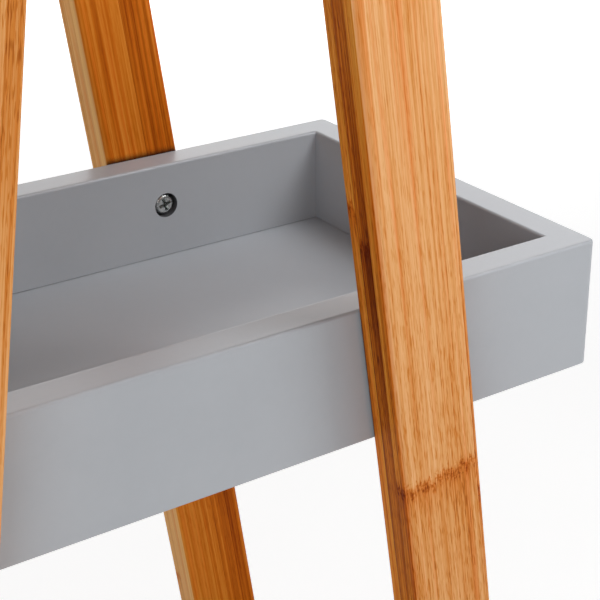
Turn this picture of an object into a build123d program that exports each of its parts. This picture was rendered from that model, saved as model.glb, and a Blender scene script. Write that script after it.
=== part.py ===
"""Three-tier ladder shelf.

Two A-shaped bamboo frames stand upright, one in front and one behind. Three open painted trays hang
between them and reach past the legs on both sides; each tray is screwed from its inside into the four
legs. A bamboo crossbar ties the two frames together at their tops. Nothing on it moves.

Frame: millimetres, +Z up, the front faces -Y. The origin is on the floor, in the middle of the four feet.
"""

from build123d import *
import os
from math import atan, cos

# --- Frame -------------------------------------------------------------------------------------------
frame_height = 915.0          # floor to the flat top of the frames
foot_half_spread = 131.9      # middle plane to a leg's centre line, at the floor
top_half_spread = 3.8         # middle plane to a leg's centre line, at the top
leg_width = 28.2              # across the leg's broad face, square to its length
leg_thickness = 15.0          # front to back
leg_edge_round = 1.6
leg_end_ease = 0.8            # round along the edges of the foot and the top
# --- Trays -------------------------------------------------------------------------------------------
tray_names = ("bottom", "middle", "top")
lowest_rim_height = 160.0     # floor to the rim of the bottom tray
tray_pitch = 270.0            # rim to rim
tray_depth = 152.0            # outer front face to outer back face
tray_height = 44.0
tray_wall = 12.0
tray_overhang = 80.0          # a leg's centre line to the tray's end, at the rim
rim_round = 1.0
corner_round = 2.5
foot_edge_round = 0.8         # round along the bottom edge of the walls
panel_thickness = 5.0
panel_lift = 4.0              # bottom edge of the walls up to the panel's underside
panel_play = 0.2              # room for the panel above it and at its edges, in the groove
groove_depth = 4.0
# --- Tray screws (M4 pan head) and their threaded inserts --------------------------------------------
screw_drop = 15.5             # rim down to the screw's axis
screw_diameter = 4.0
screw_length = 16.0           # under the head
screw_hole_play = 0.25        # on the radius, in a plain hole
head_diameter = 8.0
head_height = 3.1
head_round = 1.5
head_recess_span = 4.8        # tip to tip of the cross recess
head_recess_slot = 1.25
head_recess_depth = 2.0
head_recess_taper = 14.0      # degrees
head_sink = 4.0               # counterbore depth
head_play = 0.5               # counterbore radius over the head's
tray_screw_turn = 86.0        # degrees, of the recess in a tray's first screw
tray_screw_turn_step = 37.0   # from one screw of a tray to the next
insert_diameter = 6.2
insert_length = 10.0
insert_collar = 1.2           # smooth collar at the insert's mouth
insert_rib_depth = 0.35
insert_rib_pitch = 1.6
thread_play = 0.05            # on the radius, screw in insert and insert in leg
insert_hole_spare = 1.5       # hole beyond whichever reaches deeper, insert or screw
# --- Corner brads ------------------------------------------------------------------------------------
brad_diameter = 1.4
brad_length = 25.0
brad_cover = 0.8              # filler and paint over the brad's head
brad_drop = 9.0               # rim down to the upper brad
brad_lift = 18.0              # bottom edge of the walls up to the lower brad
brad_play = 0.03
# --- Top joint ---------------------------------------------------------------------------------------
dowel_diameter = 6.0
dowel_length = 26.0
dowel_play = 0.05
dowel_end_play = 0.4
dowel_margin = 14.0           # lower and upper end of the mitre to the nearest dowel
crossbar_thickness = 15.0
crossbar_edge_round = 2.0
crossbar_screw_offset = 8.0   # middle plane to the screw, one through each leg
crossbar_screw_length = 38.0  # under the head
crossbar_head_sink = 3.6
# --- Foot glides -------------------------------------------------------------------------------------
glide_diameter = 13.0
glide_thickness = 3.0
glide_edge_round = 0.8
nail_diameter = 1.8
nail_length = 15.0            # under the head
nail_head_diameter = 5.0
nail_head_thickness = 0.8
nail_head_cover = 1.2         # plastic under the nail's head
nail_play = 0.05

# --- Worked out from the above -----------------------------------------------------------------------
leg_slope = (foot_half_spread - top_half_spread) / frame_height
leg_half_run = leg_width / 2 / cos(atan(leg_slope))   # half the leg's width along X
frame_face_y = tray_depth / 2                         # where the trays meet the legs
leg_middle_y = frame_face_y + leg_thickness / 2
rim_heights = [lowest_rim_height + tray_pitch * i for i in range(len(tray_names))]
floor_drop = tray_height - panel_lift - panel_thickness   # rim down to the panel's upper face
screw_seat = tray_wall - head_sink                        # wall left under a tray screw's head
insert_hole_depth = max(insert_length, screw_length - screw_seat) + insert_hole_spare
SIDES = {"left": -1, "right": 1}
ENDS = {"front": -1, "rear": 1}


def half_spread(z):
    """Middle plane to a leg's centre line at height z."""
    return foot_half_spread - leg_slope * z


mitre_start = (foot_half_spread - leg_half_run) / leg_slope   # where the two inner edges meet
mitre_middle = (mitre_start + frame_height) / 2
dowel_heights = (mitre_start + dowel_margin, frame_height - dowel_margin)
legs_at = [(side, end) for side in SIDES.values() for end in ENDS.values()]


def rod(radius, length, start, direction):
    """Round bar from a start point along a direction."""
    plane = Plane(origin=start, z_dir=direction)
    return extrude(plane * Circle(radius), amount=length)


def group(solids):
    """Separate solids kept in one node."""
    return Compound(children=list(solids))


# --- Fasteners, made along +Z with the seat of the head at the origin --------------------------------
def cross_recess():
    slot = Rectangle(head_recess_span, head_recess_slot)
    cross = slot + Rot(0, 0, 90) * slot
    top = Plane(origin=(0, 0, head_height), z_dir=(0, 0, -1))
    return extrude(top * cross, amount=head_recess_depth, taper=head_recess_taper)


def pan_screw(length, point):
    """Pan-head screw: head above the origin, shank below it, with a point or a blunt end."""
    radius = screw_diameter / 2
    head = Pos(0, 0, head_height / 2) * Cylinder(head_diameter / 2, head_height)
    head = fillet(head.faces().sort_by(Axis.Z)[-1].edges(), head_round)
    shank = rod(radius, length, (0, 0, 0), (0, 0, -1))
    tip = shank.faces().sort_by(Axis.Z)[0].edges()
    if point:
        shank = chamfer(tip, length=radius * 2.2, length2=radius * 0.8, reference=None)
    else:
        shank = chamfer(tip, radius * 0.3)
    return head + shank - cross_recess()


def threaded_insert():
    """Ribbed metal insert with its mouth at the origin and its body below it."""
    outer = insert_diameter / 2
    body = rod(outer, insert_length, (0, 0, 0), (0, 0, -1))
    ribs = int((insert_length - insert_collar) / insert_rib_pitch)
    for i in range(ribs):
        z = -insert_collar - insert_rib_pitch * (i + 0.5)
        band = Cylinder(outer + 1, insert_rib_pitch / 2) - Cylinder(outer - insert_rib_depth, insert_rib_pitch)
        body -= Pos(0, 0, z) * band
    return body - rod(screw_diameter / 2 + thread_play, insert_length, (0, 0, 0), (0, 0, -1))


def at(solid, place, outward, turn=0.0):
    """Moves a fastener so that its head faces along outward, turned about its own axis."""
    return Plane(origin=place, z_dir=outward).location * Rot(0, 0, turn) * solid


# --- Tray --------------------------------------------------------------------------------------------
def tray_length(rim):
    return 2 * (half_spread(rim) + tray_overhang)


def wall_ring(length, rim):
    """All four walls in one piece, with their rounds and the groove for the panel."""
    middle = rim - tray_height / 2
    ring = Pos(0, 0, middle) * Box(length, tray_depth, tray_height)
    ring = fillet(ring.edges().filter_by(Axis.Z), corner_round)
    hollow = Box(length - 2 * tray_wall, tray_depth - 2 * tray_wall, tray_height)
    ring -= Pos(0, 0, middle) * hollow
    ring = fillet(ring.faces().sort_by(Axis.Z)[-1].edges(), rim_round)
    ring = fillet(ring.faces().sort_by(Axis.Z)[0].outer_wire().edges(), foot_edge_round)
    reach = 2 * (tray_wall - groove_depth)
    height = panel_thickness + panel_play
    groove = Box(length - reach, tray_depth - reach, height)
    return ring - Pos(0, 0, rim - floor_drop + panel_play - height / 2) * groove


def mitre_wedges(length):
    """Plan outline that keeps one wall of the ring, for each wall, with 45 degree ends."""
    x, y = length / 2, tray_depth / 2
    reach = tray_wall + 1
    return {
        "front_wall": [(-x, -y), (x, -y), (x - reach, reach - y), (reach - x, reach - y)],
        "back_wall": [(-x, y), (x, y), (x - reach, y - reach), (reach - x, y - reach)],
        "left_wall": [(-x, -y), (-x, y), (reach - x, y - reach), (reach - x, reach - y)],
        "right_wall": [(x, -y), (x, y), (x - reach, y - reach), (x - reach, reach - y)],
    }


def screw_places(rim):
    """Where each tray screw crosses the wall's outer face, and the way its head faces."""
    z = rim - screw_drop
    return [((side * half_spread(z), end * frame_face_y, z), (0, -end, 0)) for side, end in legs_at]


def brad_places(length, rim):
    """Start of each corner brad, just under the paint, and the way it is driven."""
    x = length / 2 - tray_wall / 2
    y = frame_face_y - brad_cover
    corners = [(side * x, end) for side, end in legs_at]
    drops = (brad_drop, tray_height - brad_lift)
    return [((cx, end * y, rim - drop), (0, -end, 0)) for cx, end in corners for drop in drops]


def screw_hole(place, outward):
    """Clearance hole through a tray wall with a counterbore for the head on the inside."""
    x, y, z = place
    inside = (x, y + outward[1] * tray_wall, z)
    into = (0, -outward[1], 0)
    through = rod(screw_diameter / 2 + screw_hole_play, tray_wall, inside, into)
    return through + rod(head_diameter / 2 + head_play, head_sink, inside, into)


def make_tray(name, rim):
    """Nodes of one tray: four walls, the bottom panel, and what holds them."""
    length = tray_length(rim)
    holes = [screw_hole(place, outward) for place, outward in screw_places(rim)]
    brads = brad_places(length, rim)
    holes += [rod(brad_diameter / 2 + brad_play, brad_length, start, way) for start, way in brads]
    ring = wall_ring(length, rim) - holes
    nodes = {}
    for wall, outline in mitre_wedges(length).items():
        plan = Plane.XY.offset(rim - tray_height - 1) * make_face(Polyline(*outline, close=True))
        nodes[f"{name}_tray_{wall}"] = ring & extrude(plan, amount=tray_height + 2)
    spare = 2 * (tray_wall - groove_depth + panel_play)
    panel = Box(length - spare, tray_depth - spare, panel_thickness)
    nodes[f"{name}_tray_bottom_panel"] = Pos(0, 0, rim - floor_drop - panel_thickness / 2) * panel
    nodes[f"{name}_tray_corner_brads"] = group(
        rod(brad_diameter / 2, brad_length, start, way) for start, way in brads
    )
    nodes[f"{name}_tray_screws"] = group(tray_screws(rim))
    nodes[f"{name}_tray_inserts"] = group(
        at(threaded_insert(), place, outward) for place, outward in screw_places(rim)
    )
    return nodes


def tray_screws(rim):
    """Four screws with their heads seated in the counterbores, each stopped at its own turn."""
    screw = pan_screw(screw_length, point=False)
    placed = []
    for i, (place, outward) in enumerate(screw_places(rim)):
        x, y, z = place
        turn = tray_screw_turn + tray_screw_turn_step * i
        placed.append(at(screw, (x, y + outward[1] * screw_seat, z), outward, turn))
    return placed


# --- Legs and crossbar -------------------------------------------------------------------------------
def leg_blank(side, end):
    """One leaning leg: level foot and top, and an upright mitre against its partner."""
    foot = half_spread(glide_thickness)
    top = half_spread(frame_height)
    outline = [
        (side * (foot - leg_half_run), glide_thickness),
        (side * (foot + leg_half_run), glide_thickness),
        (side * (top + leg_half_run), frame_height),
        (0, frame_height),
        (0, mitre_start),
    ]
    face = Plane.XZ * make_face(Polyline(*outline, close=True))
    leg = Pos(0, end * leg_middle_y, 0) * extrude(face, amount=leg_thickness / 2, both=True)
    along = Vector(-side * leg_slope, 0, 1).normalized()
    long_edges = [e for e in leg.edges() if abs(abs((e % 0).dot(along)) - 1) < 1e-6]
    leg = fillet(long_edges, leg_edge_round)
    levels = leg.faces().filter_by(Axis.Z)
    rims = [e for e in levels.edges() if e.center().X * side > 1e-3]
    return fillet(rims, leg_end_ease)


def crossbar_screw_places():
    """Seat of each crossbar screw's head in a leg's outer face, and the way the head faces."""
    y = frame_face_y + leg_thickness - crossbar_head_sink
    x = crossbar_screw_offset
    return [((side * x, end * y, mitre_middle), (0, end, 0)) for side, end in legs_at]


def crossbar_screw_hole(place, outward):
    into = (0, -outward[1], 0)
    shank = rod(screw_diameter / 2 + thread_play, crossbar_screw_length + 1, place, into)
    return shank + rod(head_diameter / 2 + head_play, crossbar_head_sink + 1, place, outward)


def dowel(z, end, radius, length):
    return rod(radius, length, (-length / 2, end * leg_middle_y, z), (1, 0, 0))


def make_leg(side, end):
    leg = leg_blank(side, end)
    cuts = []
    for rim in rim_heights:
        for place, outward in screw_places(rim):
            into = (0, -outward[1], 0)
            cuts.append(rod(insert_diameter / 2 + thread_play, insert_hole_depth, place, into))
    for z in dowel_heights:
        cuts.append(dowel(z, end, dowel_diameter / 2 + dowel_play, dowel_length + 2 * dowel_end_play))
    cuts += [crossbar_screw_hole(place, outward) for place, outward in crossbar_screw_places()]
    foot = (side * half_spread(glide_thickness), end * leg_middle_y, glide_thickness)
    cuts.append(rod(nail_diameter / 2 + nail_play, nail_length, foot, (0, 0, 1)))
    return leg - cuts


def make_crossbar():
    bar = Pos(0, 0, mitre_middle) * Box(leg_width, tray_depth, crossbar_thickness)
    bar = fillet(bar.edges().filter_by(Axis.Y), crossbar_edge_round)
    return bar - [crossbar_screw_hole(place, outward) for place, outward in crossbar_screw_places()]


# --- Foot glides -------------------------------------------------------------------------------------
def make_nail():
    """Glide nail with its head's underside at the origin and its point up."""
    shank = rod(nail_diameter / 2, nail_length, (0, 0, 0), (0, 0, 1))
    shank = chamfer(shank.faces().sort_by(Axis.Z)[-1].edges(), nail_diameter * 0.4)
    return shank + rod(nail_head_diameter / 2, nail_head_thickness, (0, 0, 0), (0, 0, -1))


def make_glide():
    """Plastic foot disc moulded round the head of its nail, standing on the floor."""
    disc = Pos(0, 0, glide_thickness / 2) * Cylinder(glide_diameter / 2, glide_thickness)
    disc = fillet(disc.faces().sort_by(Axis.Z)[0].edges(), glide_edge_round)
    head_top = nail_head_cover + nail_head_thickness
    room = rod(nail_head_diameter / 2 + nail_play, nail_head_thickness, (0, 0, nail_head_cover), (0, 0, 1))
    shank = rod(nail_diameter / 2 + nail_play, glide_thickness, (0, 0, head_top), (0, 0, 1))
    return disc - room - shank


def foot_places():
    return [Pos(side * half_spread(glide_thickness), end * leg_middle_y, 0) for side, end in legs_at]


# --- Assembly ----------------------------------------------------------------------------------------
def make_nodes():
    nodes = {}
    for end_name, end in ENDS.items():
        for side_name, side in SIDES.items():
            nodes[f"{end_name}_{side_name}_leg"] = make_leg(side, end)
    nodes["top_crossbar"] = make_crossbar()
    nodes["crossbar_screws"] = group(
        at(pan_screw(crossbar_screw_length, point=True), place, outward, turn=20.0 + 50.0 * i)
        for i, (place, outward) in enumerate(crossbar_screw_places())
    )
    nodes["top_joint_dowels"] = group(
        dowel(z, end, dowel_diameter / 2, dowel_length) for z in dowel_heights for end in ENDS.values()
    )
    for name, rim in zip(tray_names, rim_heights):
        nodes.update(make_tray(name, rim))
    nail_lift = Pos(0, 0, nail_head_cover + nail_head_thickness)
    nodes["foot_glides"] = group(place * make_glide() for place in foot_places())
    nodes["glide_nails"] = group(place * nail_lift * make_nail() for place in foot_places())
    return nodes


os.makedirs("parts", exist_ok=True)
for node_name, shape in make_nodes().items():
    export_step(shape, f"parts/{node_name}.step")
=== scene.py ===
"""Looks of the three-tier ladder shelf: laminated bamboo legs, satin grey trays, zinc screws.

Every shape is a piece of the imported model. This script gives each piece its finish, and sets the
floor, the lights and the camera. Lengths are in metres, except inside the materials, which measure in
millimetres.
"""

import math

import bpy
from mathutils import Matrix, Vector


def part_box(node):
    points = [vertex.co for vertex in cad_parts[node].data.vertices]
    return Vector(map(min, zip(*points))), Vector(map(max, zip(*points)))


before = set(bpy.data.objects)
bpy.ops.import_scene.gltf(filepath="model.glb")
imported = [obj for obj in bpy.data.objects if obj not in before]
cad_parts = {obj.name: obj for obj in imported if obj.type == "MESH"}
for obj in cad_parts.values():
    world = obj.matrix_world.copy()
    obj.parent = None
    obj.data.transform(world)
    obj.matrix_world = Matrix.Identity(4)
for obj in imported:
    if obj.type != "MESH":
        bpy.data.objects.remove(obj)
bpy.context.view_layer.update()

MM = 0.001

# --- What the frame says about the shelf ---------------------------------------------------------
TRAYS = ("bottom", "middle", "top")
LEGS = [(end, side) for end in ("front", "rear") for side in ("left", "right")]
SIGN = {"left": -1, "right": 1}


def middle(node):
    low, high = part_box(node)
    return (low + high) / 2


def screw_centre(tray):
    """Distance from the middle plane to a tray's screws, and their height."""
    low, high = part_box(f"{tray}_tray_screws")
    head_radius = (high.z - low.z) / 2
    return high.x - head_radius, (low.z + high.z) / 2


low_x, low_z = screw_centre("bottom")
high_x, high_z = screw_centre("top")
lean = math.atan((low_x - high_x) / (high_z - low_z))      # each leg's lean towards the middle plane
foot_x = low_x + low_z * math.tan(lean)                    # leg's centre line at the floor
crossbar_low, crossbar_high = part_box("top_crossbar")
leg_width = crossbar_high.x - crossbar_low.x
leg_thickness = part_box("rear_left_leg")[1].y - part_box("rear_left_leg")[0].y


# --- Shader tools --------------------------------------------------------------------------------
NOISE_MIDDLE = 0.5               # what the noise node gives on average
NOISE_SPREAD = 3.0               # from its usual range to about -1 to 1
OPENNESS_SAMPLES = 8


class Field:
    """A number that varies over a surface. Arithmetic on it adds Math nodes."""

    def __init__(self, shader, socket):
        self.shader = shader
        self.socket = socket

    def _math(self, operation, *others):
        return self.shader.math(operation, self, *others)

    def __add__(self, other):
        return self._math("ADD", other)

    def __sub__(self, other):
        return self._math("SUBTRACT", other)

    def __mul__(self, other):
        return self._math("MULTIPLY", other)

    def __rsub__(self, other):
        return self.shader.math("SUBTRACT", other, self)

    __radd__ = __add__
    __rmul__ = __mul__

    def __truediv__(self, other):
        return self._math("DIVIDE", other)

    def __abs__(self):
        return self._math("ABSOLUTE")

    def floor(self):
        return self._math("FLOOR")

    def fraction(self):
        return self._math("FRACT")

    def above(self, threshold):
        """1 where it is greater than the threshold, 0 elsewhere."""
        return self._math("GREATER_THAN", threshold)

    def at_most(self, limit):
        return self._math("MINIMUM", limit)

    def at_least(self, limit):
        return self._math("MAXIMUM", limit)

    def wrapped(self, period):
        """Distance to the nearest whole number of periods, with its sign."""
        turns = self / period
        return (turns - (turns + 0.5).floor()) * period

    def rise(self, start, end, low=0.0, high=1.0):
        """Smooth step from low at start to high at end."""
        step = self.shader.node(
            "ShaderNodeMapRange",
            {"Value": self, "From Min": start, "From Max": end, "To Min": low, "To Max": high},
            interpolation_type="SMOOTHSTEP",
        )
        return Field(self.shader, step.outputs["Result"])


class Shader:
    """One material's node tree, with a short call for each kind of node that the finishes use."""

    def __init__(self, name):
        self.material = bpy.data.materials.new(name)
        self.material.use_nodes = True
        self.tree = self.material.node_tree
        self.tree.nodes.clear()

    def node(self, kind, inputs=None, **settings):
        made = self.tree.nodes.new(kind)
        for key, value in settings.items():
            setattr(made, key, value)
        for key, value in (inputs or {}).items():
            self.feed(made.inputs[key], value)
        return made

    def feed(self, socket, value):
        value = getattr(value, "socket", value)
        if isinstance(value, bpy.types.NodeSocket):
            self.tree.links.new(value, socket)
        elif isinstance(socket.default_value, float):
            socket.default_value = float(value)
        else:
            socket.default_value = tuple(value)

    def math(self, operation, *values):
        made = self.node("ShaderNodeMath", dict(enumerate(values)), operation=operation)
        return Field(self, made.outputs[0])

    def place(self, origin=(0, 0, 0), turn=(0, 0, 0)):
        """Object coordinates in millimetres, in a frame with this origin and turn."""
        coordinates = self.node("ShaderNodeTexCoord").outputs["Object"]
        inputs = {"Vector": coordinates, "Location": origin, "Rotation": turn, "Scale": (MM, MM, MM)}
        return self.node("ShaderNodeMapping", inputs, vector_type="TEXTURE").outputs["Vector"]

    def facing(self, turn):
        """The surface's direction, in a frame with this turn."""
        normal = self.node("ShaderNodeTexCoord").outputs["Normal"]
        inputs = {"Vector": normal, "Rotation": turn}
        return self.node("ShaderNodeMapping", inputs, vector_type="TEXTURE").outputs["Vector"]

    def split(self, vector):
        made = self.node("ShaderNodeSeparateXYZ", {"Vector": vector})
        return [Field(self, made.outputs[axis]) for axis in "XYZ"]

    def stretch(self, vector, factors):
        """The vector with each of its parts times a factor of its own."""
        return self.join(*[part * factor for part, factor in zip(self.split(vector), factors)])

    def join(self, x, y, z):
        return self.node("ShaderNodeCombineXYZ", {"X": x, "Y": y, "Z": z}).outputs["Vector"]

    def noise(self, vector, scale=1.0, detail=2.0):
        """Noise from about -1 to 1, with features of 1 / scale."""
        inputs = {"Vector": vector, "Scale": scale, "Detail": detail}
        made = self.node("ShaderNodeTexNoise", inputs)
        return (Field(self, made.outputs["Fac"]) - NOISE_MIDDLE) * NOISE_SPREAD

    def cells(self, vector, scale):
        """Distance to the nearest of a scatter of points."""
        inputs = {"Vector": vector, "Scale": scale}
        made = self.node("ShaderNodeTexVoronoi", inputs)
        return Field(self, made.outputs["Distance"])

    def chance(self, value):
        """A random number from 0 to 1 that is the same wherever value is."""
        made = self.node("ShaderNodeTexWhiteNoise", {"W": value}, noise_dimensions="1D")
        return Field(self, made.outputs["Value"])

    def openness(self, reach):
        """1 in the open, and less where there is another surface within reach, in millimetres."""
        inputs = {"Distance": reach * MM}
        made = self.node("ShaderNodeAmbientOcclusion", inputs, samples=OPENNESS_SAMPLES)
        return Field(self, made.outputs["AO"])

    def ramp(self, value, stops):
        made = self.node("ShaderNodeValToRGB", {"Fac": value})
        elements = made.color_ramp.elements
        while len(elements) < len(stops):
            elements.new(0.5)
        for element, (position, colour) in zip(elements, stops):
            element.position = position
            element.color = (*colour, 1.0)
        return made.outputs["Color"]

    def mix(self, factor, first, second, blend="MIX"):
        """Colour that goes from first to second as factor goes from 0 to 1."""
        made = self.node("ShaderNodeMix", data_type="RGBA", blend_type=blend)
        self.feed(made.inputs["Factor"], factor)
        # sockets 6 and 7 are the colours called A and B, and output 2 is the colour result
        for socket, colour in ((made.inputs[6], first), (made.inputs[7], second)):
            self.feed(socket, (*colour, 1.0) if isinstance(colour, tuple) else colour)
        return made.outputs[2]

    def finish(self, colour, roughness, height=None, relief=0.0, **sockets):
        """Ends the tree. height is a Field from about -1 to 1, and relief its depth in millimetres."""
        inputs = {"Base Color": colour, "Roughness": roughness}
        surface = self.node("ShaderNodeBsdfPrincipled", inputs)
        for key, value in sockets.items():
            self.feed(surface.inputs[key.replace("_", " ")], value)
        if height is not None:
            inputs = {"Height": height, "Strength": 1.0, "Distance": relief * MM}
            bump = self.node("ShaderNodeBump", inputs)
            self.feed(surface.inputs["Normal"], bump.outputs["Normal"])
        output = self.node("ShaderNodeOutputMaterial")
        self.feed(output.inputs["Surface"], surface.outputs["BSDF"])
        return self.material


def dress(node, material):
    """Gives a CAD piece its finish."""
    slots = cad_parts[node].material_slots
    for slot in slots:
        slot.material = material
    if not slots:
        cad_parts[node].data.materials.append(material)


# --- Bamboo --------------------------------------------------------------------------------------
# Inside the material, lengths are in millimetres, in a board's own frame: across its broad face, through
# its thickness, and along the grain. Two or four numbers in brackets are where a Field.rise starts and
# ends, and its values there, unless their comment says something else.
LAYERS = 3                       # layers through the thickness, glued flat
GLUE_LINE = 0.16
EDGE_HIGHLIGHT_WIDTH = 1.3                 # width of the painted highlight along the sanded edge of a broad face
WANDER = 0.7                     # how far the fibres wander across the board
WANDER_THROUGH = 0.6             # the same through it, as a share of that
WANDER_RATE = 0.006              # turns per mm along the grain
FACES_OUT = (0.25, 0.50)         # how squarely a surface must face across the layers to be a broad face
FACES_END = (0.75, 0.90)         # how squarely it must face along the grain to be an end
PORES_PER_MM = 1.5
PORE = (0.32, 0.18)

BAMBOO_COLOURS = [
    (0.00, (0.13, 0.022, 0.003)),
    (0.22, (0.36, 0.088, 0.010)),
    (0.45, (0.64, 0.215, 0.036)),
    (0.64, (0.77, 0.355, 0.118)),
    (0.84, (0.87, 0.475, 0.215)),
    (1.00, (0.96, 0.60, 0.30)),
]
EMBER = (1.0, 0.75, 0.60)        # tint of the reddest fibres
HONEY_AND_PAINTED_SHADE = (1.0, 0.76, 0.27)        # tint of the deepest coloured broad faces, partly painted shade on the rear legs
OCHRE = (0.92, 0.85, 0.38)       # tint of the deepest coloured narrow faces
PAINTED_CONTACT_SHADE = (0.020, 0.010, 0.006)  # painted shade: almost black laid on the wood right beside another piece, for the contact shadow there
CONTACT_SHADE_REACH = 4.0
CONTACT_SHADE_OPENNESS = (0.88, 0.45)
CONTACT_SHADE_DEPTH = 0.95

# Each kind of fibre: how many to a millimetre across, its length, and its levels of detail.
FIBRES = {
    "bands": (0.20, 260.0, 2.0),
    "embers": (0.45, 190.0, 3.0),
    "streaks": (0.75, 150.0, 3.0),
    "corals": (1.2, 240.0, 2.0),
    "lines": (2.1, 60.0, 2.0),
    "bundles": (2.7, 4.6, 1.0),
}
STRIP_OFFSETS = (90.0, 40.0, 7.0)    # how far apart two strips' fibres are drawn: across, through, along

# Joints: the rows of teeth that the culm's knuckles leave across the grain.
JOINT_PITCH = 262.0
OTHER_STRIP_DROP = 11.0          # how much lower the joint of the neighbouring strip lies
TOOTH_PITCH = 2.6
TOOTH_LENGTH = 7.5
TOOTH_TIP = 2.0                  # how far the teeth's tips lie below the joint's line
TOOTH_WOBBLE = (0.6, 0.8)        # turns per mm across the board, and size in teeth
ROW_WAVE = (0.16, 1.8)           # turns per mm across the board, and size
WOBBLE_OFFSETS = (5.0, 2.0)      # keep the wobble, the wave and each strip's share of them apart
WAVE_OFFSET = 9.0
CRUMB_SCALE = 1.25
CRUMB_STRETCH = 0.8
TOOTH_WIDTH = (3.2, 0.5)
TOOTH_CRUMBS = (-0.5, 0.4, 0.15, 1.0)
SPECK_REACH = (4.0, 2.0)
SPECK_CRUMBS = (0.35, 0.75)
FRINGE_BELOW = (-14.0, -1.0)     # the darker hem just below a joint
FRINGE_ABOVE = (2.5, 0.0)
FRINGE_STREAKS = (-0.6, 0.4, 0.4, 1.0)
SHADE_BELOW = (-120.0, -4.0)     # the long fade under it
SHADE_ABOVE = (1.5, -2.5)
SHADE_STREAKS = (-1.0, 0.5, 1.0, 0.5)
DASH_REACH = (170.0, 30.0, 0.35, 1.0)
DASH = (0.0, 0.55)

# How much each mark lightens the wood, on the scale of BAMBOO_COLOURS.
LIGHTENS = {
    "bands": 0.14, "streaks": 0.24, "lines": 0.19, "dashes": -0.18,
    "knuckle": -0.25, "specks": -0.18, "fringe": -0.10, "shade": -0.12,
    "strip_seam": -0.10, "layer_seam": -0.06, "edge_highlight": 0.09,
    "end_pores": -0.25, "end_face": -0.12,
}
# How much of the EMBER tint each mark brings.
REDDENS = {"embers": 0.9, "corals": 0.45, "hem": 0.3, "knuckle": 0.4}
EMBER_FIBRES = (-0.1, 0.75)
CORAL_FIBRES = (0.1, 0.7)
# How far each mark stands out of the surface, in parts of BAMBOO_RELIEF.
STANDS_OUT = {"lines": 0.4, "dashes": -0.6, "knuckle": -1.2, "strip_seam": -1.0, "layer_seam": -1.0}
BAMBOO_RELIEF = 0.04
BAMBOO_ROUGHNESS = 0.40
ROUGHENS = {"streaks": 0.03, "knuckle": 0.12, "end_face": 0.2}
BAMBOO_SHEEN = 0.03              # weak reflection, as on oiled wood


def weigh(marks, weights):
    """The marks added up, each times its weight."""
    return sum(marks[mark] * weight for mark, weight in weights.items())


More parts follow.
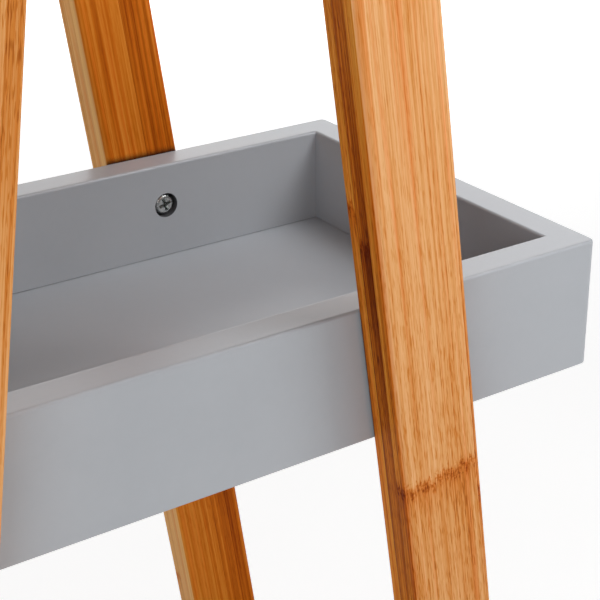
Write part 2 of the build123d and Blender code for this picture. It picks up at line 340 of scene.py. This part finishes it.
def bamboo(name, origin, turn, seed, tones, edge_tones, strip_edges, joints,
           honey_and_painted_shade=(0.0, 1.0), grain=1.0):
    """Laminated bamboo along the local Z axis, with its broad faces across the local Y axis.

    seed gives a board its own pattern. tones are the lightness of the two strips that make up each broad
    face. Each layer, front to back, has its own tone on the narrow faces, its own line along which two
    strips meet, and the height of one of its joints. These tones are partly the board's own colour and
    partly painted light and shade, lighter or darker as the light falls on each face. honey is how
    deeply the broad and the narrow faces are coloured, partly painted shade on the broad faces of the
    rear legs, and grain is how strongly the finest fibres show.
    """
    shader = Shader(name)
    place = shader.place(origin, turn)
    across, through, along = shader.split(place)
    facing = [abs(part) for part in shader.split(shader.facing(turn))]
    broad_face = facing[1].rise(*FACES_OUT)
    end_face = facing[2].rise(*FACES_END)
    narrow_face = (1.0 - broad_face - end_face).at_least(0.0)

    # layers and strips
    bend = shader.noise(shader.join(seed, 0.0, along * WANDER_RATE)) * WANDER
    layer_depth = leg_thickness / MM / LAYERS
    depth = through + bend * WANDER_THROUGH
    layer = (depth / layer_depth + LAYERS / 2).floor().at_least(0.0).at_most(LAYERS - 1.0)
    is_layer = [1.0 - layer.at_most(1.0), 1.0 - abs(layer - 1.0), (layer - 1.0).at_least(0.0)]

    def per_layer(values):
        first, second, third = [chosen * value for chosen, value in zip(is_layer, values)]
        return first + second + third

    from_edge = across - per_layer(strip_edges) - bend
    other_strip = from_edge.above(0.0)
    luck = shader.chance(layer * 2.0 + other_strip + seed)

    # fibres: long in the grain, narrow across it, and different in every strip
    offset_across, offset_through, offset_along = STRIP_OFFSETS
    u = across + bend + luck * offset_across
    v = through + luck * offset_through

    def fibres(kind):
        fineness, length, detail = FIBRES[kind]
        stretched = shader.join(u * fineness, v * fineness, along / length + luck * offset_along)
        return shader.noise(stretched, detail=detail)

    marks = {kind: fibres(kind) for kind in ("bands", "streaks", "lines")}
    marks["end_face"] = end_face

    # joints
    run = across + through
    wave_rate, wave_size = ROW_WAVE
    wobble_rate, wobble_size = TOOTH_WOBBLE
    wobble_offset, wobble_depth = WOBBLE_OFFSETS
    wave = shader.noise(shader.join(run * wave_rate, luck * WAVE_OFFSET, 0.0)) * wave_size
    wobble_place = shader.join(run * wobble_rate, luck * wobble_offset, wobble_depth)
    wobble = shader.noise(wobble_place) * wobble_size
    teeth = abs((run / TOOTH_PITCH + wobble).fraction() - 0.5)
    from_joint = along - per_layer(joints) + other_strip * OTHER_STRIP_DROP - wave
    from_joint = from_joint.wrapped(JOINT_PITCH)
    crumb_place = shader.join(across, through, along * CRUMB_STRETCH)
    crumbs = shader.noise(crumb_place, CRUMB_SCALE)
    from_tooth = abs(from_joint - teeth * TOOTH_LENGTH + TOOTH_TIP)
    marks["knuckle"] = from_tooth.rise(*TOOTH_WIDTH) * crumbs.rise(*TOOTH_CRUMBS)
    marks["specks"] = abs(from_joint).rise(*SPECK_REACH) * crumbs.rise(*SPECK_CRUMBS)
    marks["hem"] = from_joint.rise(*FRINGE_BELOW) * from_joint.rise(*FRINGE_ABOVE)
    marks["fringe"] = marks["hem"] * marks["streaks"].rise(*FRINGE_STREAKS)
    shade = from_joint.rise(*SHADE_BELOW) * from_joint.rise(*SHADE_ABOVE)
    marks["shade"] = shade * marks["streaks"].rise(*SHADE_STREAKS)
    marks["dashes"] = fibres("bundles").rise(*DASH) * abs(from_joint).rise(*DASH_REACH)

    # seams, painted highlights along the rounded edges, and end grain
    half_width = leg_width / MM / 2
    strip_seam = abs(from_edge).rise(GLUE_LINE, GLUE_LINE / 3)
    layer_seam = abs(abs(depth) - layer_depth / 2).rise(GLUE_LINE * 2.0, GLUE_LINE)
    # painted highlight: a broad face is lighter along its rounded edges
    edge_highlight = abs(across).rise(half_width - EDGE_HIGHLIGHT_WIDTH, half_width - EDGE_HIGHLIGHT_WIDTH / 3)
    pores = shader.cells(shader.join(u, v, 0.0), PORES_PER_MM).rise(*PORE)
    marks["strip_seam"] = strip_seam * broad_face
    marks["layer_seam"] = layer_seam * narrow_face
    marks["edge_highlight"] = edge_highlight * broad_face
    marks["end_pores"] = pores * end_face

    # colour
    main_tone, other_tone = tones
    face_tone = main_tone + other_strip * (other_tone - main_tone)
    # partly painted light and shade: each leg's face and edge tones are also set by how the light falls
    # on its faces
    tone = face_tone * (1.0 - narrow_face) + per_layer(edge_tones) * narrow_face
    softened = {mark: marks[mark] * grain for mark in ("lines", "dashes")}
    colour = shader.ramp(tone + weigh({**marks, **softened}, LIGHTENS), BAMBOO_COLOURS)
    marks["embers"] = fibres("embers").rise(*EMBER_FIBRES)
    marks["corals"] = fibres("corals").rise(*CORAL_FIBRES)
    face_honey_and_shade, edge_honey = honey_and_painted_shade
    # painted shade: the closer another surface, the more of the dark contact colour goes on the wood
    contact_shade = shader.openness(CONTACT_SHADE_REACH).rise(*CONTACT_SHADE_OPENNESS)
    colour = shader.mix(weigh(marks, REDDENS).at_most(1.0), colour, EMBER, blend="MULTIPLY")
    # partly painted shade: the rear legs' broad faces take the deeper tint
    colour = shader.mix((1.0 - narrow_face) * face_honey_and_shade, colour, HONEY_AND_PAINTED_SHADE, blend="MULTIPLY")
    colour = shader.mix(narrow_face * edge_honey, colour, OCHRE, blend="MULTIPLY")
    # painted shade mixed into the wood's colour right beside other pieces
    colour = shader.mix(contact_shade * CONTACT_SHADE_DEPTH, colour, PAINTED_CONTACT_SHADE)

    roughness = BAMBOO_ROUGHNESS + weigh(marks, ROUGHENS)
    height = weigh(marks, STANDS_OUT)
    return shader.finish(colour, roughness, height, BAMBOO_RELIEF, Specular_IOR_Level=BAMBOO_SHEEN)


# Each leg's tones and honey are partly its own colour and partly painted light and shade: the front
# right leg's broad face is lighter and its narrow faces darker, and the rear legs' narrow faces are
# lighter and their broad faces deeper.
BOARD_LOOKS = {
    "front_left_leg": dict(
        seed=11.0, tones=(0.60, 0.62), edge_tones=(0.60, 0.50, 0.64),
        strip_edges=(-5.2, 3.0, -8.0), joints=(330.0, 30.0, 190.0),
    ),
    "front_right_leg": dict(
        seed=23.0, tones=(0.685, 0.635), edge_tones=(0.52, 0.32, 0.50),
        strip_edges=(12.3, -3.0, 2.0), joints=(379.0, 459.0, 470.0),
    ),
    "rear_left_leg": dict(
        seed=37.0, tones=(0.52, 0.60), edge_tones=(0.66, 0.54, 0.72),
        strip_edges=(4.1, -6.5, 8.8), joints=(205.0, 96.0, 318.0), honey_and_painted_shade=(0.5, 1.0),
    ),
    "rear_right_leg": dict(
        seed=51.0, tones=(0.58, 0.38), edge_tones=(0.92, 0.88, 0.86),
        strip_edges=(1.7, 5.5, -9.0), joints=(345.0, 150.0, 240.0), honey_and_painted_shade=(1.0, 0.6), grain=0.5,
    ),
    "top_crossbar": dict(
        seed=67.0, tones=(0.62, 0.66), edge_tones=(0.62, 0.52, 0.66),
        strip_edges=(3.5, -4.0, 6.0), joints=(31.0, -52.0, 90.0),
    ),
}


def finish_bamboo():
    for end, side in LEGS:
        node = f"{end}_{side}_leg"
        origin = (SIGN[side] * foot_x, middle(node).y, 0.0)
        turn = (0.0, -SIGN[side] * lean, 0.0)
        dress(node, bamboo(f"bamboo_{end}_{side}", origin, turn, **BOARD_LOOKS[node]))
    node = "top_crossbar"
    turn = (math.radians(90), 0.0, 0.0)
    dress(node, bamboo("bamboo_crossbar", middle(node), turn, **BOARD_LOOKS[node]))


# --- Satin grey paint ----------------------------------------------------------------------------
PAINT_GREY = (0.412, 0.433, 0.463)
PAINT_LIGHT = (0.442, 0.463, 0.493)
PAINT_ROUGHNESS = 0.40
PAINT_RELIEF = 0.006                   # mm
COUNTERBORE_SHADE = (0.085, 0.085, 0.092)     # painted shade: dark grey on the bare fibreboard inside the screw holes, for the shadow in them
BARE_ROUGHER = 0.4                     # how much rougher than the paint
HEAD_HOLE = 4.5                        # mm, radius of a counterbore
PAINT_LIP = (0.12, 0.02)               # mm past that radius over which the paint ends
CLOUD_SCALE = 0.02                     # features to a millimetre, of the paint's slow changes of shade
MOTTLE_SCALE = 0.3
MOTTLE_SHARE = 0.25
PEEL_SCALE = 0.75                      # of its orange peel
DUST_SCALE = 0.09                      # of the grains of dust caught in it
DUST_GRAIN = (0.05, 0.03)
DUST_HEIGHT = 3.0
MOTTLE_ROUGHENS = 0.02
PEEL_ROUGHENS = 0.015


def grey_paint(name, tray):
    """Sprayed paint with a little orange peel, and bare board inside the tray's counterbores, coloured
    dark grey as painted shade.
    """
    shader = Shader(name)
    place = shader.place()
    x, _, z = shader.split(place)
    mottle = shader.noise(place, CLOUD_SCALE) + shader.noise(place, MOTTLE_SCALE) * MOTTLE_SHARE
    peel = shader.noise(place, PEEL_SCALE, detail=3.0)
    dust = shader.cells(place, DUST_SCALE).rise(*DUST_GRAIN)
    screw_x, screw_z = [value / MM for value in screw_centre(tray)]
    sideways = shader.math("POWER", abs(x) - screw_x, 2.0)
    radius_squared = sideways + shader.math("POWER", z - screw_z, 2.0)
    counterbore_mask = radius_squared.rise(*((HEAD_HOLE + lip) ** 2 for lip in PAINT_LIP))
    colour = shader.mix(mottle.rise(-1.0, 1.0), PAINT_GREY, PAINT_LIGHT)
    # painted shade: the counterbore walls go dark grey for the shadow inside the holes
    colour = shader.mix(counterbore_mask, colour, COUNTERBORE_SHADE)
    roughness = PAINT_ROUGHNESS + mottle * MOTTLE_ROUGHENS + peel * PEEL_ROUGHENS
    roughness = roughness + counterbore_mask * BARE_ROUGHER
    return shader.finish(colour, roughness, peel + dust * DUST_HEIGHT, PAINT_RELIEF)


def finish_trays():
    for tray in TRAYS:
        paint = grey_paint(f"grey_paint_{tray}", tray)
        for piece in ("front_wall", "back_wall", "left_wall", "right_wall", "bottom_panel"):
            dress(f"{tray}_tray_{piece}", paint)


# --- Metal, dowels and glides --------------------------------------------------------------------
METALS = {                       # colour and roughness
    "zinc": ((0.66, 0.68, 0.67), 0.26),
    "yellow_zinc": ((0.72, 0.62, 0.36), 0.30),
    "bright_steel": ((0.60, 0.60, 0.61), 0.24),
}
TARNISH = 0.72                   # a metal's dullest spots, as a share of its colour
CLOUDS_PER_MM = 0.6
SCRATCH_STRETCH = (9.0, 1.0, 3.0)
METAL_RELIEF = 0.008             # mm
CLOUD_ROUGHENS = 0.05
SCRATCH_ROUGHENS = 0.03

BEECH_DARK = (0.62, 0.40, 0.22)
BEECH_LIGHT = (0.74, 0.54, 0.34)
BEECH_STRETCH = (0.08, 1.6, 1.6)
BEECH_ROUGHNESS = (0.6, 0.04)    # on average, and how much the grain changes it
BEECH_RELIEF = 0.03              # mm

PLASTIC_DARK = (0.70, 0.69, 0.66)
PLASTIC_LIGHT = (0.76, 0.75, 0.72)
PLASTIC_GRAINS_PER_MM = 4.0
PLASTIC_ROUGHNESS = (0.45, 0.04)
PLASTIC_RELIEF = 0.01            # mm


def metal(name, colour, roughness):
    shader = Shader(name)
    place = shader.place()
    cloud = shader.noise(place, CLOUDS_PER_MM, detail=3.0)
    scratches = shader.noise(shader.stretch(place, SCRATCH_STRETCH))
    dull = tuple(TARNISH * channel for channel in colour)
    shade = shader.mix(cloud.rise(-1.0, 1.0), colour, dull)
    rough = roughness + cloud * CLOUD_ROUGHENS + scratches * SCRATCH_ROUGHENS
    return shader.finish(shade, rough, scratches, METAL_RELIEF, Metallic=1.0)


def beech(name):
    shader = Shader(name)
    grain = shader.noise(shader.stretch(shader.place(), BEECH_STRETCH), detail=3.0)
    colour = shader.mix(grain.rise(-1.0, 1.0), BEECH_DARK, BEECH_LIGHT)
    roughness, change = BEECH_ROUGHNESS
    return shader.finish(colour, roughness + grain * change, grain, BEECH_RELIEF)


def moulded_plastic(name):
    shader = Shader(name)
    grain = shader.noise(shader.place(), PLASTIC_GRAINS_PER_MM, detail=3.0)
    colour = shader.mix(grain.rise(-1.0, 1.0), PLASTIC_DARK, PLASTIC_LIGHT)
    roughness, change = PLASTIC_ROUGHNESS
    return shader.finish(colour, roughness + grain * change, grain, PLASTIC_RELIEF)


def finish_small_parts():
    metals = {name: metal(name, *look) for name, look in METALS.items()}
    dress("crossbar_screws", metals["zinc"])
    dress("top_joint_dowels", beech("beech"))
    dress("foot_glides", moulded_plastic("glide_plastic"))
    dress("glide_nails", metals["bright_steel"])
    for tray in TRAYS:
        dress(f"{tray}_tray_screws", metals["zinc"])
        dress(f"{tray}_tray_inserts", metals["yellow_zinc"])
        dress(f"{tray}_tray_corner_brads", metals["bright_steel"])


# --- Floor, lights and camera --------------------------------------------------------------------
FLOOR_REACH = 12.0               # from the middle to each edge
FLOOR_COLOUR = (0.90, 0.90, 0.90)
FLOOR_PALER = 1.02               # how much paler its cloudy patches are
FLOOR_CLOUDS_PER_MM = 0.004
FLOOR_GLOW = 0.45                # light that the floor gives of itself, like a light table
FLOOR_NEAR = 1.2                 # where that glow begins to rise
FLOOR_FAR = 3.0                  # where it reaches plain white
FLOOR_ROUGHNESS = 0.9

SURROUND = 0.10                  # brightness of the surround, as the object sees it
BACKDROP = 1.1                   # and as the camera sees it past the floor
WHITE = (1.0, 1.0, 1.0, 1.0)

# Where the lights point: the middle of the shelf, and places on its middle tray.
WAIST = (0.0, 0.0, 0.45)
MIDDLE_TRAY = (0.1, 0.0, 0.42)
RIGHT_OF_TRAY = (0.12, 0.0, 0.42)
NEAR_LEG = (0.15, -0.05, 0.42)
SOFTBOXES = {
    "backdrop_glow": dict(centre=(1.4, 2.2, 1.0), aim=WAIST, size=(3.0, 1.8), radiance=2.35),
    "front_left": dict(centre=(-1.4, -1.4, 1.0), aim=WAIST, size=(1.0, 1.0), radiance=2.9),
    "front_close": dict(centre=(0.15, -1.0, 0.8), aim=MIDDLE_TRAY, size=(0.5, 0.5), radiance=0.5),
    "right_close": dict(centre=(0.36, -0.33, 0.8), aim=NEAR_LEG, size=(0.25, 0.25), radiance=6.8),
    "above_right": dict(centre=(0.45, -0.2, 1.5), aim=RIGHT_OF_TRAY, size=(0.5, 0.5), radiance=4.6),
}

CAMERA_AZIMUTH = math.radians(35.97)      # the camera stands to the left of the front
CAMERA_ELEVATION = math.radians(24.56)
CAMERA_ROLL = math.radians(-0.40)
CAMERA_DISTANCE = 0.4534                  # to the aim point
CAMERA_LENS = 93.52                       # mm
CAMERA_SENSOR = 36.0                      # mm, the width of the picture on the sensor
CAMERA_SHIFT = -0.0833
CAMERA_CLIP = (0.02, 60.0)
AIM_FROM_MIDDLE = (0.0601, -0.0687)       # aim point on the middle tray's rim plane


def floor_material(name):
    """Plain pale floor, lit a little from within like a light table, and fading to white far away."""
    shader = Shader(name)
    place = shader.place()
    x, y, _ = shader.split(place)
    cloud = shader.noise(place, FLOOR_CLOUDS_PER_MM)
    paler = tuple(min(1.0, channel * FLOOR_PALER) for channel in FLOOR_COLOUR)
    shade = shader.mix(cloud.rise(-1.0, 1.0), FLOOR_COLOUR, paler)
    reach = shader.math("SQRT", x * x + y * y)
    glow = reach.rise(FLOOR_NEAR / MM, FLOOR_FAR / MM, FLOOR_GLOW, 1.0)
    return shader.finish(shade, FLOOR_ROUGHNESS, Emission_Color=WHITE, Emission_Strength=glow)


def make_floor():
    mesh = bpy.data.meshes.new("floor")
    signs = ((-1, -1), (1, -1), (1, 1), (-1, 1))
    corners = [(x * FLOOR_REACH, y * FLOOR_REACH, 0.0) for x, y in signs]
    mesh.from_pydata(corners, [], [(0, 1, 2, 3)])
    floor = bpy.data.objects.new("floor", mesh)
    mesh.materials.append(floor_material("pale_floor"))
    bpy.context.scene.collection.objects.link(floor)


def softbox(name, centre, aim, size, radiance):
    """Rectangular light with the same brightness whatever its size."""
    light = bpy.data.lights.new(name, "AREA")
    light.shape = "RECTANGLE"
    light.size, light.size_y = size
    light.energy = radiance * size[0] * size[1] * math.pi
    lamp = bpy.data.objects.new(name, light)
    lamp.location = centre
    lamp.rotation_euler = (Vector(aim) - Vector(centre)).to_track_quat("-Z", "Y").to_euler()
    lamp.visible_camera = False
    bpy.context.scene.collection.objects.link(lamp)


def make_lights():
    for name, light in SOFTBOXES.items():
        softbox(name, **light)


def make_world():
    """Dim surround for the lighting, and a white one where the camera looks past the floor."""
    world = bpy.data.worlds.new("studio")
    world.use_nodes = True
    tree = world.node_tree
    surround = tree.nodes["Background"]
    seen = tree.nodes.new("ShaderNodeBackground")
    for background, strength in ((surround, SURROUND), (seen, BACKDROP)):
        background.inputs["Color"].default_value = WHITE
        background.inputs["Strength"].default_value = strength
    mixed = tree.nodes.new("ShaderNodeMixShader")
    path = tree.nodes.new("ShaderNodeLightPath")
    tree.links.new(path.outputs["Is Camera Ray"], mixed.inputs["Fac"])
    tree.links.new(surround.outputs["Background"], mixed.inputs[1])
    tree.links.new(seen.outputs["Background"], mixed.inputs[2])
    tree.links.new(mixed.outputs["Shader"], tree.nodes["World Output"].inputs["Surface"])
    bpy.context.scene.world = world


def make_camera():
    data = bpy.data.cameras.new("camera")
    data.lens = CAMERA_LENS
    data.sensor_width = CAMERA_SENSOR
    data.shift_x = CAMERA_SHIFT
    data.clip_start, data.clip_end = CAMERA_CLIP
    camera = bpy.data.objects.new("camera", data)
    forward = Vector((
        math.sin(CAMERA_AZIMUTH) * math.cos(CAMERA_ELEVATION),
        math.cos(CAMERA_AZIMUTH) * math.cos(CAMERA_ELEVATION),
        -math.sin(CAMERA_ELEVATION),
    ))
    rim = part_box("middle_tray_front_wall")[1].z
    stand = Matrix.Translation(Vector((*AIM_FROM_MIDDLE, rim)) - forward * CAMERA_DISTANCE)
    roll = Matrix.Rotation(CAMERA_ROLL, 4, forward)
    level = forward.to_track_quat("-Z", "Y").to_matrix().to_4x4()
    camera.matrix_world = stand @ roll @ level
    bpy.context.scene.collection.objects.link(camera)
    bpy.context.scene.camera = camera


finish_bamboo()
finish_trays()
finish_small_parts()
make_floor()
make_lights()
make_world()
make_camera()
bpy.context.scene.view_settings.view_transform = "Standard"
